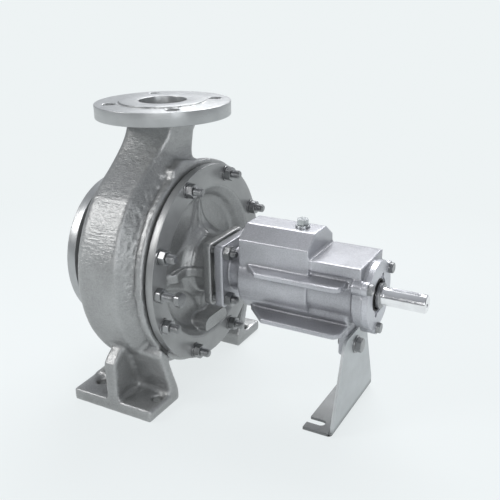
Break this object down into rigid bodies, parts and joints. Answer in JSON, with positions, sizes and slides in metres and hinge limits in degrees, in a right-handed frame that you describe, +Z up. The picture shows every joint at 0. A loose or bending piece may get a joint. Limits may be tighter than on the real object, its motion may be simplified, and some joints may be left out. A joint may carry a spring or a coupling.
{
  "type": "thermic fluid pump",
  "caption": "End-suction volute pump for hot oil with flanged ports, ribbed casing cover, finned bearing bracket, bent-sheet support foot and a keyed shaft end.",
  "frame": {"origin": "centre of the four holes of the casing feet, on the base plane, under the centre of the discharge port", "axes": "+X along the shaft towards the drive end, +Z up, +Y to the far side"},
  "size_m": [0.483, 0.3157, 0.405],
  "materials": {
    "casting_paint": "silver-grey paint over a rough sand casting",
    "bracket_paint": "light silver paint over a smoother casting",
    "plated_steel": "zinc plated",
    "plated_sheet": "bright plated sheet",
    "ground_steel": "ground and polished",
    "bearing_steel": "polished",
    "cage_brass": "machined",
    "bare_iron": "machined where it runs",
    "carbon": "fine dull black",
    "black_rubber": "matt"
  },
  "bodies": {
    "pump_frame": {"volute_casing": "casting_paint", "casing_wear_ring": "bare_iron", "casing_cover": "casting_paint", "cover_wear_ring": "bare_iron", "cover_gasket": "carbon", "throttle_bush": "carbon", "cover_studs": "plated_steel", "cover_nuts": "plated_steel", "cover_washers": "plated_steel", "forcing_screws": "plated_steel", "forcing_screw_nuts": "plated_steel", "seal_cover": "bare_iron", "seal_seat": "carbon", "bearing_bracket": "bracket_paint", "bracket_studs": "plated_steel", "bracket_nuts": "plated_steel", "bracket_oil_seal": "black_rubber", "pump_side_outer_ring": "bearing_steel", "drive_side_outer_ring": "bearing_steel", "bearing_cover": "bracket_paint", "bearing_cover_screws": "plated_steel", "cover_oil_seal": "black_rubber", "filler_plug": "plated_steel", "filler_plug_washer": "black_rubber", "drain_plug": "plated_steel", "support_foot": "plated_sheet", "support_foot_bolt": "plated_steel", "support_foot_washer": "plated_steel"},
    "rotor": {"shaft": "ground_steel", "impeller": "bare_iron", "impeller_key": "ground_steel", "impeller_nut": "ground_steel", "impeller_washer": "ground_steel", "shaft_sleeve": "ground_steel", "seal_ring": "carbon", "seal_spring": "ground_steel", "seal_collar": "ground_steel", "pump_side_inner_ring": "bearing_steel", "drive_side_inner_ring": "bearing_steel", "shaft_circlips": "ground_steel", "deflector_ring": "black_rubber"},
    "pump_side_ball_set": {"pump_side_balls": "bearing_steel", "pump_side_cage": "cage_brass"},
    "drive_side_ball_set": {"drive_side_balls": "bearing_steel", "drive_side_cage": "cage_brass"}
  },
  "joints": [
    {"name": "rotor_spin", "type": "hinge", "parent": "pump_frame", "child": "rotor", "pos_m": [0, 0, 0.18], "axis": [1, 0, 0], "continuous": true},
    {"name": "pump_side_balls_roll", "type": "hinge", "parent": "pump_frame", "child": "pump_side_ball_set", "pos_m": [0, 0, 0.18], "axis": [1, 0, 0], "continuous": true},
    {"name": "drive_side_balls_roll", "type": "hinge", "parent": "pump_frame", "child": "drive_side_ball_set", "pos_m": [0, 0, 0.18], "axis": [1, 0, 0], "continuous": true}
  ],
  "couplings": [
    {"joint": "pump_side_balls_roll", "follows": "rotor_spin", "ratio": 0.3678},
    {"joint": "drive_side_balls_roll", "follows": "rotor_spin", "ratio": 0.3678}
  ]
}
